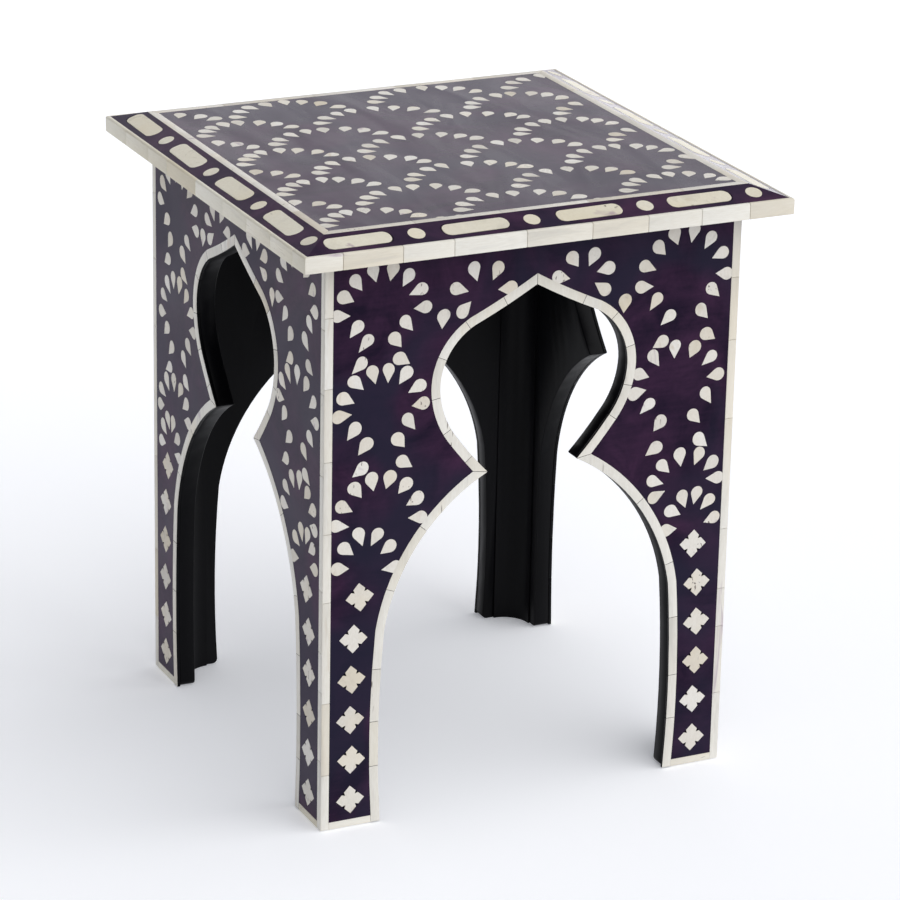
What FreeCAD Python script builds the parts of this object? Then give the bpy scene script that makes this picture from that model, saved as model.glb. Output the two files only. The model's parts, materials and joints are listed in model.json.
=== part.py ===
import FreeCAD, Part
import math
import os

# A bone-inlay stool: a square top with a bevelled border on four side panels, each cut with a
# keyhole arch. Bone pieces and dark resin make a thin skin on painted boards.
# Every length is in millimetres, +Z is up, and the origin is on the floor under the middle.

Vector = FreeCAD.Vector

SIZES = {
    "stool_height": 452,
    # square top, from the bone edging in to its flat field
    "top_width": 380,
    "border_width": 21.5,
    "line_width": 6.5,
    "bevel_drop": 7,
    "edging_height": 12,
    "edging_thickness": 3,
    "edging_chamfer": 1,
    # four side panels
    "overhang": 27,
    "board_thickness": 12.5,
    "leg_width": 47,
    "arch_head": 37.5,
    "foot_round": 4,
    # thin skin of bone and resin
    "skin": 2.5,
    "resin_sink": 0.15,
    "strip_width": 6.5,
    "trim_width": 7,
    "foot_strip_height": 5.5,
    "foot_lift": 0.4,
    "saw_gap": 0.25,
    # bone squares set on their corners down the legs
    "rosette_width": 22,
    "rosette_first": 21.5,
    "rosette_pitch": 31.4,
    # bone lozenges and discs in the bevelled border
    "lozenge_length": 51.5,
    "lozenge_width": 13.4,
    "lozenge_corner": 5.6,
    "disc_width": 12.2,
    "border_end": 19.8,
    # cove blocks inside the corners, and slip tenons between the panels and the top
    "cove_width": 22,
    "cove_lip": 1.2,
    "tenon_length": 30,
    "tenon_thickness": 5,
    "tenon_in_panel": 15,
    "tenon_in_top": 9,
    "tenon_from_side": 73,
    "tenon_clearance": 0.1,
    "tenon_end_gap": 0.5,
    # how far a cut runs past what it cuts
    "overrun": 2,
}

FORMULAS = {
    "bevel_foot": "stool_height - bevel_drop",
    "panel_height": "stool_height - bevel_drop - edging_height",
    "top_half": "top_width / 2",
    "core_half": "top_width / 2 - edging_thickness",
    "bevel_half": "top_width / 2 - edging_thickness - border_width",
    "field_half": "top_width / 2 - edging_thickness - border_width - line_width",
    "body_half": "top_width / 2 - overhang",
    "skin_back": "top_width / 2 - overhang - skin",
    "inner_half": "top_width / 2 - overhang - skin - board_thickness",
    "resin_depth": "skin - resin_sink",
    "arch_half": "top_width / 2 - overhang - leg_width",
    "arch_height": "panel_height - arch_head",
}

ROSETTES_PER_LEG = 6
BORDER_UNITS = 4
DISC_SIDES = 12
LOZENGE_CORNER_STEPS = 2
TOLERANCE = 1e-3

# The arch from foot to apex: how wide and how high each corner lies, as shares of the arch's
# half width and height, and how far the stretch to the next corner bows out, as a share of it.
ARCH_SHARES = (
    (1.0, 0.0, 0.019),
    (0.988, 0.379, 0.118),
    (0.306, 0.656, 0.016),
    (0.513, 0.728, 0.082),
    (0.638, 0.827, 0.138),
    (0.414, 0.938, -0.013),
    (0.0, 1.0, 0.0),
)
CUSP = 2

# Joints between the bone segments, as shares of the run that they divide.
LOWER_TRIM_SHARES = {-1: (0.155, 0.275, 0.415, 0.62, 0.79), 1: (0.14, 0.26, 0.42, 0.57, 0.77)}
UPPER_TRIM_SHARES = {
    -1: (0.1, 0.25, 0.39, 0.54, 0.69, 0.86),
    1: (0.21, 0.34, 0.49, 0.63, 0.78),
}
STRIP_SHARES = {
    -1: (0.1, 0.23, 0.41, 0.53, 0.655, 0.78, 0.9),
    1: (0.125, 0.25, 0.32, 0.43, 0.63, 0.77, 0.88),
}
EDGING_SHARES = (0.075, 0.193, 0.295, 0.441, 0.575, 0.691, 0.803, 0.905)
LINE_SHARES = (0.16, 0.37, 0.585, 0.82)
SIDE_SHIFT_SHARE = 0.012

# Hand-set squares: how far each one up a leg lies off the leg's middle, towards the arch, as a
# share of its width, and its turn from standing on its corner, in degrees.
ROSETTE_LEAN_SHARES = (0.0, 0.02, -0.03, 0.0, 0.05, 0.26)
ROSETTE_TILTS = {-1: (2, -3, 1, 3, -2, 4), 1: (-2, 2, -1, 3, 1, -4)}

SIDES = {"front": 0, "right": 90, "back": 180, "left": 270}
CORNERS = {"front_left": 0, "front_right": 90, "back_right": 180, "back_left": 270}

doc = FreeCAD.newDocument("stool")
sheet = doc.addObject("Spreadsheet::Sheet", "sizes")


def fill_sheet():
    """Writes the sizes and the formulas that follow from them into the sheet."""
    rows = [(name, str(value)) for name, value in SIZES.items()]
    rows += [(name, "=" + formula) for name, formula in FORMULAS.items()]
    for row, (name, content) in enumerate(rows, start=1):
        sheet.set(f"A{row}", name)
        sheet.set(f"B{row}", content)
        sheet.setAlias(f"B{row}", name)
    doc.recompute()


def size(name):
    return float(sheet.get(name))


def bind(feature, **expressions):
    """Ties properties of a feature to cells of the sheet."""
    for name, expression in expressions.items():
        feature.setExpression(name, expression)


def cell(name):
    return "sizes." + name


def new_body(label, turn=0):
    body = doc.addObject("PartDesign::Body", label)
    body.Label = label
    body.AllowCompound = True
    body.Placement = FreeCAD.Placement(Vector(), FreeCAD.Rotation(Vector(0, 0, 1), turn))
    return body


def new_sketch(body, role, outlines, offset=None):
    """A sketch on one of the body's origin planes, moved along the plane's normal by offset."""
    sketch = body.newObject("Sketcher::SketchObject", body.Label + "_sketch")
    plane = next(f for f in body.Origin.OriginFeatures if f.Role == role)
    sketch.AttachmentSupport = [(plane, "")]
    sketch.MapMode = "FlatFace"
    if offset:
        sketch.setExpression("AttachmentOffset.Base.z", offset)
    for outline in outlines:
        sketch.addGeometry(outline, False)
    return sketch


def pad(body, sketch, length):
    feature = body.newObject("PartDesign::Pad", body.Label + "_pad")
    feature.Profile = sketch
    feature.setExpression("Length", length)
    sketch.Visibility = False
    doc.recompute()
    return feature


def pocket(body, sketch, length=None, reverse=False):
    """Cuts a sketch out of the body, through everything if no length is given."""
    before = body.Shape.Volume
    feature = body.newObject("PartDesign::Pocket", body.Label + "_pocket")
    feature.Profile = sketch
    feature.Reversed = reverse
    if length:
        feature.setExpression("Length", length)
    else:
        feature.Type = "ThroughAll"
    doc.recompute()
    if not body.Shape.Volume < before:
        raise RuntimeError(f"a cut in {body.Label} removes nothing")
    return feature


def is_near(value, target):
    return abs(value - target) < TOLERANCE


def dress_edges(body, kind, amount, at_edge):
    """Rounds or chamfers the edges whose two ends both pass the test at_edge."""
    base = body.Tip
    names = [
        f"Edge{number}"
        for number, edge in enumerate(base.Shape.Edges, start=1)
        if all(at_edge(vertex.Point) for vertex in edge.Vertexes)
    ]
    feature = body.newObject("PartDesign::" + kind, body.Label + "_edge")
    feature.Base = (base, names)
    feature.setExpression("Radius" if kind == "Fillet" else "Size", amount)
    doc.recompute()


def loft(body, kind, lower, upper):
    feature = body.newObject("PartDesign::" + kind, body.Label + "_loft")
    feature.Profile = lower
    feature.Sections = [upper]
    feature.Ruled = True
    doc.recompute()
    return feature


def polygon(points):
    """Straight closed outline through 2D points."""
    corners = [Vector(x, y, 0) for x, y in points]
    return [Part.LineSegment(a, b) for a, b in zip(corners, corners[1:] + corners[:1])]


def rectangle(left, right, low, high):
    return polygon([(left, low), (right, low), (right, high), (left, high)])


def square(half):
    return rectangle(-half, half, -half, half)


def disc(x, y, width, sides):
    """A round outline with flat sides, as wide over its corners as the width given."""
    turns = [2 * math.pi * (k + 0.5) / sides for k in range(sides)]
    return polygon([(x + width / 2 * math.cos(t), y + width / 2 * math.sin(t)) for t in turns])


def slot(x, y, length, width, turn, place):
    """Outline of a saw cut: a thin rectangle round a point, turned by an angle in radians."""
    along = Vector(math.cos(turn), math.sin(turn), 0)
    across = Vector(-math.sin(turn), math.cos(turn), 0)
    start = Vector(x, y, 0) + along * place
    corners = [
        start - across * (width / 2),
        start + along * length - across * (width / 2),
        start + along * length + across * (width / 2),
        start + across * (width / 2),
    ]
    return polygon([(c.x, c.y) for c in corners])


# The arch and what is offset from it


def arch_stretches():
    """Arcs of the arch's right half, from foot to apex."""
    half, height = size("arch_half"), size("arch_height")
    corners = [(Vector(half * wide, height * high, 0), bow) for wide, high, bow in ARCH_SHARES]
    arcs = []
    for (start, bow), (end, _) in zip(corners, corners[1:]):
        chord = end - start
        arcs.append(Part.Arc(start, (start + end) / 2 + away(chord) * bow, end).toShape())
    return arcs


def away(direction):
    """Turned a quarter to the right: out of the arch, for a direction up its right half."""
    return Vector(direction.y, -direction.x, 0)


def normals(arc):
    """Directions out of the arch at an arc's start, middle and end."""
    first, last = arc.FirstParameter, arc.LastParameter
    return [away(arc.tangentAt(place)) for place in (first, (first + last) / 2, last)]


def half_arch(hand, grow=0):
    """Edges of one half of the arch, grown outwards, with mitred corners: hand is -1 for left."""
    arcs = arch_stretches()
    turned = [normals(arc) for arc in arcs]
    last = turned[-1][2]
    before = [turned[0][0]] + [n[2] for n in turned]
    after = [n[0] for n in turned] + [Vector(-last.x, last.y, 0)]
    steps = [(a + b) * (grow / (1 + a.dot(b))) for a, b in zip(before, after)]
    edges = []
    for number, arc in enumerate(arcs):
        first, end = arc.FirstParameter, arc.LastParameter
        points = [
            arc.valueAt(first) + steps[number],
            arc.valueAt((first + end) / 2) + turned[number][1] * grow,
            arc.valueAt(end) + steps[number + 1],
        ]
        edges.append(Part.Arc(*[Vector(hand * p.x, p.y, 0) for p in points]).toShape())
    return edges


def arch_wire(grow=0):
    """The arch, grown outwards, as one closed wire that runs on below the feet."""
    drop = Vector(0, -2 * size("overrun"), 0)
    left, right = half_arch(-1, grow), half_arch(1, grow)
    left_foot = left[0].valueAt(left[0].FirstParameter)
    right_foot = right[0].valueAt(right[0].FirstParameter)
    sill = Part.makePolygon([left_foot, left_foot + drop, right_foot + drop, right_foot]).Edges
    return Part.Wire(Part.__sortEdges__(left + right + sill))


def trim_wire():
    """The outer edge of the bone trim round the arch."""
    return arch_wire(size("trim_width"))


def as_outline(wire):
    """Lines and arcs of a flat wire, as sketch geometry."""
    outline = []
    for edge in wire.Edges:
        start, end = edge.valueAt(edge.FirstParameter), edge.valueAt(edge.LastParameter)
        if isinstance(edge.Curve, Part.Line):
            outline.append(Part.LineSegment(start, end))
        else:
            middle = edge.valueAt((edge.FirstParameter + edge.LastParameter) / 2)
            outline.append(Part.Arc(start, middle, end))
    return outline


def trim_band():
    """Outline of the bone band between the arch and the trim's outer edge, cut off at the feet."""
    reach = size("top_width")
    band = Part.Face(trim_wire()).cut(Part.Face(arch_wire()))
    below = Part.makePlane(2 * reach, reach + size("foot_lift"), Vector(-reach, -reach, 0))
    return as_outline(band.cut(below).Faces[0].OuterWire)


def along(edges, share):
    """The point and the tangent at a share of the length of some edges."""
    distance = share * sum(edge.Length for edge in edges)
    for edge in edges:
        if distance <= edge.Length:
            break
        distance -= edge.Length
    place = edge.getParameterByLength(distance)
    tangent = edge.tangentAt(place)
    return edge.valueAt(place), tangent


def trim_joints():
    """Saw cuts across the trim: between segments, at both cusps and at the apex."""
    gap, over = size("saw_gap"), size("overrun")
    length = size("trim_width") + 2 * over
    cuts = []
    for hand in (-1, 1):
        edges = half_arch(hand)
        for run, shares in ((edges[:CUSP], LOWER_TRIM_SHARES), (edges[CUSP:], UPPER_TRIM_SHARES)):
            for share in shares[hand]:
                point, tangent = along(run, share)
                outward = Vector(tangent.y, -tangent.x, 0) * hand
                turn = math.atan2(outward.y, outward.x)
                cuts.append(slot(point.x, point.y, length, gap, turn, -over))
        cusp = edges[CUSP].valueAt(edges[CUSP].FirstParameter)
        below = edges[CUSP - 1].tangentAt(edges[CUSP - 1].LastParameter)
        above = edges[CUSP].tangentAt(edges[CUSP].FirstParameter)
        seam = above - below
        cuts.append(slot(cusp.x, cusp.y, 2 * length, gap, math.atan2(seam.y, seam.x), -over))
    apex = size("arch_height")
    cuts.append(slot(0, apex, 2 * length, gap, math.pi / 2, -over))
    return cuts


def rosette_outlines():
    """Squares on their corners, in two columns down the legs."""
    half = size("rosette_width") / 2
    middle = size("body_half") - (size("strip_width") + size("leg_width") - size("trim_width")) / 2
    outlines = []
    for hand in (-1, 1):
        for number in range(ROSETTES_PER_LEG):
            x = hand * (middle - ROSETTE_LEAN_SHARES[number] * size("rosette_width"))
            z = size("rosette_first") + number * size("rosette_pitch")
            turns = [math.radians(ROSETTE_TILTS[hand][number] + 90 * k) for k in range(4)]
            corners = [(x + half * math.cos(t), z + half * math.sin(t)) for t in turns]
            outlines.append(polygon(corners))
    return outlines


# Pieces that each of the four sides has


def make_panel(side, turn):
    """Painted board with mitred ends, the arch cut out and the feet rounded beside it."""
    body = new_body("panel_" + side, turn)
    outer, inner = size("skin_back"), size("inner_half")
    plan = polygon([(-outer, -outer), (outer, -outer), (inner, -inner), (-inner, -inner)])
    pad(body, new_sketch(body, "XY_Plane", [plan]), cell("panel_height"))
    pocket(body, new_sketch(body, "XZ_Plane", [as_outline(arch_wire())]), reverse=True)
    mortises = tenon_outlines((0,), size("tenon_clearance"))
    pocket(body, new_sketch(body, "XY_Plane", mortises, cell("panel_height")), cell("tenon_in_panel"))
    gap = size("arch_half")
    beside_arch = lambda p: is_near(p.z, 0) and is_near(abs(p.x), gap)
    dress_edges(body, "Fillet", cell("foot_round"), beside_arch)


def make_face_resin(side, turn):
    """Dark resin skin of one side, with an opening for each bone square."""
    body = new_body("face_resin_" + side, turn)
    half = size("body_half") - size("strip_width")
    low = size("foot_lift") + size("foot_strip_height")
    face = rectangle(-half, half, low, size("panel_height"))
    back = cell("skin_back")
    pad(body, new_sketch(body, "XZ_Plane", [face], back), cell("resin_depth"))
    pocket(body, new_sketch(body, "XZ_Plane", [as_outline(trim_wire())]), reverse=True)
    pocket(body, new_sketch(body, "XZ_Plane", rosette_outlines()), reverse=True)


def make_arch_trim(side, turn):
    """Bone band round the arch, sawn into segments."""
    body = new_body("arch_trim_" + side, turn)
    pad(body, new_sketch(body, "XZ_Plane", [trim_band()], cell("skin_back")), cell("skin"))
    pocket(body, new_sketch(body, "XZ_Plane", trim_joints()), reverse=True)


def make_corner_strips(side, turn):
    """Bone strips up both ends of one side, mitred at the corner and sawn into segments."""
    body = new_body("corner_strips_" + side, turn)
    outer, back = size("body_half"), size("skin_back")
    inner = outer - size("strip_width")
    low, high = size("foot_lift"), size("panel_height")
    corners = ((inner, outer), (outer, outer), (back, back), (inner, back))
    plans = [polygon([(hand * x, -y) for x, y in corners]) for hand in (-1, 1)]
    length = cell("panel_height") + " - " + cell("foot_lift")
    pad(body, new_sketch(body, "XY_Plane", plans, cell("foot_lift")), length)
    gap, over = size("saw_gap") / 2, size("overrun")
    cuts = []
    for hand in (-1, 1):
        left, right = sorted((hand * (inner - over), hand * (outer + over)))
        for share in STRIP_SHARES[hand]:
            z = low + (high - low) * share
            cuts.append(rectangle(left, right, z - gap, z + gap))
    pocket(body, new_sketch(body, "XZ_Plane", cuts), reverse=True)


def make_foot_strips(side, turn):
    """A bone strip across the bottom of each leg, between corner strip and trim."""
    body = new_body("foot_strips_" + side, turn)
    half = size("body_half") - size("strip_width")
    low = size("foot_lift")
    strip = rectangle(-half, half, low, low + size("foot_strip_height"))
    pad(body, new_sketch(body, "XZ_Plane", [strip], cell("skin_back")), cell("skin"))
    pocket(body, new_sketch(body, "XZ_Plane", [as_outline(trim_wire())]), reverse=True)


def make_rosettes(side, turn):
    """Bone squares down both legs of one side, in the openings of the resin."""
    body = new_body("rosettes_" + side, turn)
    pad(body, new_sketch(body, "XZ_Plane", rosette_outlines(), cell("skin_back")), cell("skin"))


def make_top_edging(side, turn, shift):
    """Bone edging of one side of the top: mitred ends, a soft upper edge, sawn into segments."""
    body = new_body("top_edging_" + side, turn)
    outer, inner = size("top_half"), size("core_half")
    plan = polygon([(-outer, -outer), (outer, -outer), (inner, -inner), (-inner, -inner)])
    base = cell("panel_height")
    pad(body, new_sketch(body, "XY_Plane", [plan], base), cell("edging_height"))
    high = size("bevel_foot")
    top_outside = lambda p: is_near(p.z, high) and is_near(p.y, -outer)
    dress_edges(body, "Chamfer", cell("edging_chamfer"), top_outside)
    gap, over = size("saw_gap") / 2, size("overrun")
    cuts = []
    for share in EDGING_SHARES:
        x = (2 * (share + shift) - 1) * outer
        cuts.append(rectangle(x - gap, x + gap, -outer - over, -inner + over))
    pocket(body, new_sketch(body, "XY_Plane", cuts, base), reverse=True)


# The top


def make_top_board():
    """Core of the top: a square board with a bevelled upper edge and mortises below."""
    body = new_body("top_board")
    core = [square(size("core_half"))]
    shoulder = cell("bevel_foot") + " - " + cell("skin")
    deck = cell("stool_height") + " - " + cell("skin")
    under = cell("panel_height")
    pad(body, new_sketch(body, "XY_Plane", core, under), shoulder + " - " + under)
    low = new_sketch(body, "XY_Plane", core, shoulder)
    high = new_sketch(body, "XY_Plane", [square(size("bevel_half"))], deck)
    loft(body, "AdditiveLoft", low, high)
    mortises = tenon_outlines(SIDES.values(), size("tenon_clearance"))
    pocket(body, new_sketch(body, "XY_Plane", mortises, under), cell("tenon_in_top"), reverse=True)


def make_top_field():
    """Flat resin field in the middle of the top."""
    body = new_body("top_field")
    deck = cell("stool_height") + " - " + cell("skin")
    pad(body, new_sketch(body, "XY_Plane", [square(size("field_half"))], deck), cell("resin_depth"))


def make_top_line():
    """Thin bone line round the field, mitred at the corners and sawn into segments."""
    body = new_body("top_line")
    outer, inner = size("bevel_half"), size("field_half")
    deck = cell("stool_height") + " - " + cell("skin")
    pad(body, new_sketch(body, "XY_Plane", [square(outer), square(inner)], deck), cell("skin"))
    gap, over = size("saw_gap"), size("overrun")
    length = outer - inner + 2 * over
    cuts = []
    for quarter in range(4):
        turn = math.radians(90 * quarter)
        mitre = turn + math.pi / 4
        reach = inner * math.sqrt(2)
        x, y = reach * math.cos(mitre), reach * math.sin(mitre)
        cuts.append(slot(x, y, 2 * length, gap, mitre, -over))
        for share in LINE_SHARES:
            away = (2 * (share + SIDE_SHIFT_SHARE * quarter) - 1) * inner
            x = inner * math.cos(turn) - away * math.sin(turn)
            y = inner * math.sin(turn) + away * math.cos(turn)
            cuts.append(slot(x, y, length, gap, turn, -over))
    pocket(body, new_sketch(body, "XY_Plane", cuts, deck), reverse=True)


def make_top_border():
    """Bevelled resin border, with an opening for each lozenge and disc."""
    body = new_body("top_border")
    foot = cell("bevel_foot") + " - " + cell("skin")
    deck = cell("stool_height") + " - " + cell("skin")
    wide, narrow = [square(size("core_half"))], [square(size("bevel_half"))]
    pad(body, new_sketch(body, "XY_Plane", wide, foot), cell("resin_depth"))
    low = new_sketch(body, "XY_Plane", wide, foot + " + " + cell("resin_depth"))
    high = new_sketch(body, "XY_Plane", narrow, deck + " + " + cell("resin_depth"))
    loft(body, "AdditiveLoft", low, high)
    low = new_sketch(body, "XY_Plane", wide, foot)
    high = new_sketch(body, "XY_Plane", narrow, deck)
    loft(body, "SubtractiveLoft", low, high)
    pocket(body, new_sketch(body, "XY_Plane", narrow, foot), reverse=True)
    inlay = lozenge_outlines() + disc_outlines()
    pocket(body, new_sketch(body, "XY_Plane", inlay, foot), reverse=True)


def border_middle():
    return (size("core_half") + size("bevel_half")) / 2


def border_places():
    """Middles of each lozenge and disc along the front border, evenly spaced from its left end."""
    long, round_width = size("lozenge_length"), size("disc_width")
    start = size("border_end") - size("top_half")
    spare = -2 * start - BORDER_UNITS * (long + round_width)
    gap = spare / (2 * BORDER_UNITS - 1)
    unit = long + round_width + 2 * gap
    lozenges = [start + long / 2 + k * unit for k in range(BORDER_UNITS)]
    return [(x, x + long / 2 + gap + round_width / 2) for x in lozenges]


def on_side(quarter, x, y=0):
    """A point x along the side and y in from the middle of the border, with the side turned."""
    return FreeCAD.Rotation(Vector(0, 0, 1), 90 * quarter).multVec(Vector(x, y - border_middle(), 0))


def lozenge(quarter, middle):
    """A long piece with well rounded corners, in the middle of the border's width."""
    corner = size("lozenge_corner")
    long, wide = size("lozenge_length") / 2 - corner, size("lozenge_width") / 2 - corner
    points = []
    for number, (across, up) in enumerate(((1, 1), (-1, 1), (-1, -1), (1, -1))):
        for step in range(LOZENGE_CORNER_STEPS + 1):
            turn = math.pi / 2 * (number + step / LOZENGE_CORNER_STEPS)
            x = middle + across * long + corner * math.cos(turn)
            point = on_side(quarter, x, up * wide + corner * math.sin(turn))
            points.append((point.x, point.y))
    return polygon(points)


def lozenge_outlines():
    return [lozenge(quarter, middle) for quarter in range(4) for middle, _ in border_places()]


def disc_outlines():
    outlines = []
    for quarter in range(4):
        for _, middle in border_places():
            place = on_side(quarter, middle)
            outlines.append(disc(place.x, place.y, size("disc_width"), DISC_SIDES))
    return outlines


def make_frustum(name, top):
    """Square frustum with the bevel's slope, twice as deep, its top at the height of an expression."""
    wedge = doc.addObject("Part::Wedge", name)
    narrow = cell("bevel_half")
    wide = "(2 * " + cell("core_half") + " - " + narrow + ")"
    bind(wedge, Xmin="-" + wide, Xmax=wide, Zmin="-" + wide, Zmax=wide)
    bind(wedge, X2min="-" + narrow, X2max=narrow, Z2min="-" + narrow, Z2max=narrow)
    bind(wedge, Ymin=top + " - 2 * " + cell("bevel_drop"), Ymax=top)
    wedge.Placement = FreeCAD.Placement(Vector(), FreeCAD.Rotation(Vector(1, 0, 0), 90))
    return wedge


def make_border_inlay(label, outlines):
    """Bone pieces in the border: straight-sided pegs trimmed to the slope above and below."""
    sketch = doc.addObject("Sketcher::SketchObject", label + "_sketch")
    for outline in outlines:
        sketch.addGeometry(outline, False)
    pegs = doc.addObject("Part::Extrusion", label + "_pegs")
    pegs.Base = sketch
    pegs.DirMode = "Normal"
    pegs.Solid = True
    bind(pegs, LengthFwd=cell("stool_height"))
    upper = make_frustum(label + "_upper", cell("stool_height"))
    lower = make_frustum(label + "_lower", cell("stool_height") + " - " + cell("skin"))
    trimmed = doc.addObject("Part::Common", label + "_trimmed")
    trimmed.Base, trimmed.Tool = upper, pegs
    pieces = doc.addObject("Part::Cut", label)
    pieces.Base, pieces.Tool = trimmed, lower
    pieces.Label = label


# Inside


def tenon_outlines(turns, clearance=0):
    """Two tenons in the thickness of each side's board, or the mortises round them."""
    line = (size("skin_back") + size("inner_half")) / 2
    long, thick = size("tenon_length") / 2 + clearance, size("tenon_thickness") / 2 + clearance
    place = size("body_half") - size("tenon_from_side")
    outlines = []
    for turn in turns:
        rotation = FreeCAD.Rotation(Vector(0, 0, 1), turn)
        for middle in (-place, place):
            corners = [
                rotation.multVec(Vector(middle + across * long, away * thick - line, 0))
                for across, away in ((-1, -1), (1, -1), (1, 1), (-1, 1))
            ]
            outlines.append(polygon([(c.x, c.y) for c in corners]))
    return outlines


def make_tenons():
    """Loose wooden tongues that hold the top on the panels."""
    body = new_body("top_tenons")
    foot = cell("panel_height") + " - " + cell("tenon_in_panel") + " + " + cell("tenon_end_gap")
    length = cell("tenon_in_panel") + " + " + cell("tenon_in_top") + " - 2 * " + cell("tenon_end_gap")
    pad(body, new_sketch(body, "XY_Plane", tenon_outlines(SIDES.values()), foot), length)


def make_corner_block(corner, turn):
    """Cove-shaped glue block up the inside of one corner."""
    body = new_body("corner_block_" + corner, turn)
    wall, width, lip = -size("inner_half"), size("cove_width"), size("cove_lip")
    near, far = wall + lip, wall + width
    bend = far - (width - lip) / math.sqrt(2)
    cove = [
        Part.LineSegment(Vector(wall, wall, 0), Vector(far, wall, 0)),
        Part.LineSegment(Vector(far, wall, 0), Vector(far, near, 0)),
        Part.Arc(Vector(far, near, 0), Vector(bend, bend, 0), Vector(near, far, 0)),
        Part.LineSegment(Vector(near, far, 0), Vector(wall, far, 0)),
        Part.LineSegment(Vector(wall, far, 0), Vector(wall, wall, 0)),
    ]
    pad(body, new_sketch(body, "XY_Plane", [cove]), cell("panel_height"))


def check(objects):
    """Stops if anything in the document failed."""
    for item in doc.Objects:
        if {"Invalid", "Error"} & set(item.State):
            raise RuntimeError(f"{item.Label} failed: {item.State}")
    for item in objects:
        if item.Shape.isNull() or not item.Shape.isValid() or not item.Shape.Solids:
            raise RuntimeError(f"{item.Label} has no sound solid")


def is_piece(item):
    return item.TypeId == "PartDesign::Body" or item.Label in ("border_lozenges", "border_discs")


def build():
    fill_sheet()
    for number, (side, turn) in enumerate(SIDES.items()):
        make_panel(side, turn)
        make_face_resin(side, turn)
        make_arch_trim(side, turn)
        make_corner_strips(side, turn)
        make_foot_strips(side, turn)
        make_rosettes(side, turn)
        make_top_edging(side, turn, SIDE_SHIFT_SHARE * number)
    for corner, turn in CORNERS.items():
        make_corner_block(corner, turn)
    make_tenons()
    make_top_board()
    make_top_field()
    make_top_line()
    make_top_border()
    make_border_inlay("border_lozenges", lozenge_outlines())
    make_border_inlay("border_discs", disc_outlines())
    doc.recompute()
    pieces = [item for item in doc.Objects if is_piece(item)]
    check(pieces)
    os.makedirs("parts", exist_ok=True)
    for item in pieces:
        item.Shape.exportStep(f"parts/{item.Label}.step")
        print(f"{item.Label}: {len(item.Shape.Solids)} solids, {item.Shape.Volume:.0f} mm3")


build()
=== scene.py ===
import json
import math
import random

import bmesh
import bpy
from mathutils import Matrix, Vector

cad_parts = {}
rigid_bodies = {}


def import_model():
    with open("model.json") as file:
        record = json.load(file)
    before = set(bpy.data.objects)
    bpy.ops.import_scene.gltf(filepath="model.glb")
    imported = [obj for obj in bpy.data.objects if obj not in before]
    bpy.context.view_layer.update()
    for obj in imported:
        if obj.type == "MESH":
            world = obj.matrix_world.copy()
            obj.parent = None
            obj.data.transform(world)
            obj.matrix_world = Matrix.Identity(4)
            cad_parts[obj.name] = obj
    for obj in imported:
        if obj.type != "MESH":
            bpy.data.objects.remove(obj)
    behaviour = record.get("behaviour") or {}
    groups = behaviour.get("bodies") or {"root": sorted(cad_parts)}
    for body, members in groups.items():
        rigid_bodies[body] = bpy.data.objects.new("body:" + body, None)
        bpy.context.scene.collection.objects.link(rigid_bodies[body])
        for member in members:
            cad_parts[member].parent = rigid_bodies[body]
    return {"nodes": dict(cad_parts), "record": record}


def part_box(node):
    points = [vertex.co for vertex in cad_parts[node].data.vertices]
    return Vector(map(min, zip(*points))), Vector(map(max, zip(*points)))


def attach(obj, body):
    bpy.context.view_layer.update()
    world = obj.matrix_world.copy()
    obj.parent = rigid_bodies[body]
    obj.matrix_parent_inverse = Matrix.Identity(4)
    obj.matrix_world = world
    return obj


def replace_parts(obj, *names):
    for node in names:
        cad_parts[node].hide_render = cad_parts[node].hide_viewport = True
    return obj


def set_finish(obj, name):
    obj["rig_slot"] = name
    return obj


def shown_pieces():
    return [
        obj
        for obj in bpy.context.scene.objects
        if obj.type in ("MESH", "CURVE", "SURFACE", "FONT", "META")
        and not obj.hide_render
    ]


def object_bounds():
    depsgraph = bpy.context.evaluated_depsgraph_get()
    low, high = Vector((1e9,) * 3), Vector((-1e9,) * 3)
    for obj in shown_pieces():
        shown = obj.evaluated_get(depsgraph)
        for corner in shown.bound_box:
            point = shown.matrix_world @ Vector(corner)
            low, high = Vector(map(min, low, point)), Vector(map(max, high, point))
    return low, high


# A bone-inlay stool. The CAD nodes carry the form. This script softens their edges, adds the bone
# petals, notches the bone squares, rounds the border's inlay, and gives every surface its material.
# Lengths are in metres; MM turns the small sizes of the inlay into metres.

for leftover in list(bpy.data.objects):
    bpy.data.objects.remove(leftover)
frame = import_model()
CAD_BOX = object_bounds()

MM = 0.001
SIDES = {"front": 0, "right": 90, "back": 180, "left": 270}
SLOTS = {part["node"]: part["material_slot"] for part in frame["record"]["subparts"]}

# Places taken from the frame
BONE_LEVEL = -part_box("rosettes_front")[0].y
FACE_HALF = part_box("face_resin_front")[1].x
FACE_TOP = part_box("face_resin_front")[1].z
FACE_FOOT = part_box("face_resin_front")[0].z
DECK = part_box("top_line")[1].z
FIELD_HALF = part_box("top_field")[1].x
BORDER_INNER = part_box("top_line")[1].x
BORDER_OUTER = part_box("top_border")[1].x
BEVEL_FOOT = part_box("top_edging_front")[1].z

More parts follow.
